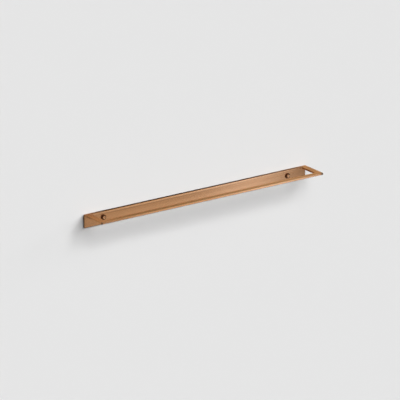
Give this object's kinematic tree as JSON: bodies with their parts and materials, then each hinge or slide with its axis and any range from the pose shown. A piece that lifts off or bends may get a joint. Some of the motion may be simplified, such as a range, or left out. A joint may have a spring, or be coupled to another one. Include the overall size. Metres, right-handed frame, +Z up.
{
  "type": "towel rail",
  "caption": "Wall-mounted towel rail folded from a single brushed sheet: an upright leg screwed to the wall and a level leg with a long window, whose front bar carries the towel.",
  "frame": {"origin": "on the wall plane, midway between the screws", "axes": "+X along the rail, +Y into the wall, +Z up; the towel bar is on the -Y side"},
  "size_m": [0.6, 0.122, 0.0316],
  "materials": {
    "rail_metal": "copper-coloured, brushed along the length",
    "screw_metal": "copper-coloured, turned satin",
    "plug_nylon": "moulded matt"
  },
  "bodies": {
    "root": {"rail": "rail_metal", "fixing_screws": "screw_metal", "wall_plugs": "plug_nylon"}
  },
  "joints": []
}
